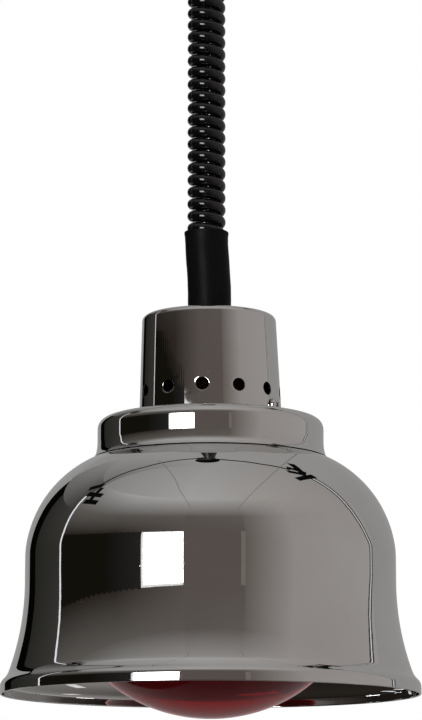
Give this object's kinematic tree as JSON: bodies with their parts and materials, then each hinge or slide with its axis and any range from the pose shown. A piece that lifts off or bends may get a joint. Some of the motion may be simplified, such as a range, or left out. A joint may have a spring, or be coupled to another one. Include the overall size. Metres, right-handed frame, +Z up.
{
  "type": "heat lamp",
  "caption": "Hanging infrared food-warming lamp: chromed bell shade with red reflector bulb, vented cap, black curly cord and round ceiling canopy.",
  "frame": {"origin": "centre of the face that meets the ceiling, on the lamp axis", "axes": "+Z up along the lamp axis, -Y towards the viewer of the picture, +X to the right"},
  "size_m": [0.23, 0.23, 0.541],
  "materials": {
    "zinc_plated_steel": "satin zinc plate",
    "steel": "plain steel",
    "black_plastic": "smooth black",
    "black_rubber": "matt black",
    "nylon": "natural white",
    "chrome": "bright chrome plate",
    "brass": "plain brass",
    "porcelain": "white glaze",
    "brown_sheath": "smooth",
    "blue_sheath": "smooth",
    "green_sheath": "smooth",
    "red_glass": "clear ruby red",
    "dark_glass": "black vitrite",
    "clear_glass": "clear"
  },
  "bodies": {
    "ceiling_mount": {"ceiling_bracket": "zinc_plated_steel", "ceiling_hook": "zinc_plated_steel", "hook_nut": "zinc_plated_steel", "canopy": "black_plastic", "canopy_grommet": "black_rubber", "canopy_screw_right": "zinc_plated_steel", "canopy_screw_left": "zinc_plated_steel"},
    "hanger": {"hanging_ring": "zinc_plated_steel"},
    "balancer": {"balancer_frame": "zinc_plated_steel", "drum_axle": "steel", "axle_clip_back": "steel", "axle_clip_front": "steel", "rope_guide": "nylon", "upper_cord_bush": "black_rubber", "terminal_block": "nylon", "upper_live_lead": "brown_sheath", "upper_neutral_lead": "blue_sheath", "upper_earth_lead": "green_sheath", "curly_cord": "black_plastic", "lift_rope": "steel"},
    "drum": {"rope_drum": "nylon", "rope_winding": "steel", "balance_spring": "steel"},
    "head": {"rope_stop": "brass", "rope_pin": "steel", "sleeve": "black_rubber", "stem": "zinc_plated_steel", "stem_nut": "zinc_plated_steel", "cap": "chrome", "cap_ring": "zinc_plated_steel", "head_bracket": "zinc_plated_steel", "cord_bush": "black_rubber", "lamp_holder": "porcelain", "holder_shell": "brass", "holder_contact": "brass", "live_wire": "brown_sheath", "neutral_wire": "blue_sheath", "earth_wire": "green_sheath", "earth_screw": "brass", "collar": "chrome", "shade": "chrome", "spacer_right": "zinc_plated_steel", "spacer_left": "zinc_plated_steel", "shade_screw_right": "zinc_plated_steel", "shade_screw_left": "zinc_plated_steel", "shade_nut_right": "zinc_plated_steel", "shade_nut_left": "zinc_plated_steel", "holder_screw_right": "zinc_plated_steel", "holder_screw_left": "zinc_plated_steel", "holder_terminal_right": "brass", "holder_terminal_left": "brass", "cap_screw_1": "zinc_plated_steel", "cap_screw_2": "zinc_plated_steel"},
    "bulb": {"bulb_glass": "red_glass", "bulb_base": "brass", "bulb_insulator": "dark_glass", "bulb_tip": "brass", "bulb_mount": "clear_glass", "filament": "steel"}
  },
  "joints": [
    {"name": "ring_swing", "type": "hinge", "parent": "ceiling_mount", "child": "hanger", "pos_m": [0, 0, -0.0295], "axis": [0, 1, 0], "range_deg": [-6, 6]},
    {"name": "balancer_swing", "type": "hinge", "parent": "hanger", "child": "balancer", "pos_m": [0, 0, -0.0402], "axis": [1, 0, 0], "range_deg": [-6, 6]},
    {"name": "head_pull", "type": "slide", "parent": "balancer", "child": "head", "axis": [0, 0, -1], "range_m": [0, 0.27], "deforming": ["curly_cord", "lift_rope"]},
    {"name": "drum_spin", "type": "hinge", "parent": "balancer", "child": "drum", "pos_m": [-0.0155, 0, -0.0774], "axis": [0, 1, 0], "range_deg": [0, 1010]},
    {"name": "bulb_out", "type": "slide", "parent": "head", "child": "bulb", "axis": [0, 0, -1], "range_m": [0, 0.2]}
  ],
  "couplings": [
    {"joint": "drum_spin", "follows": "head_pull", "rad_per_m": 64.516}
  ]
}
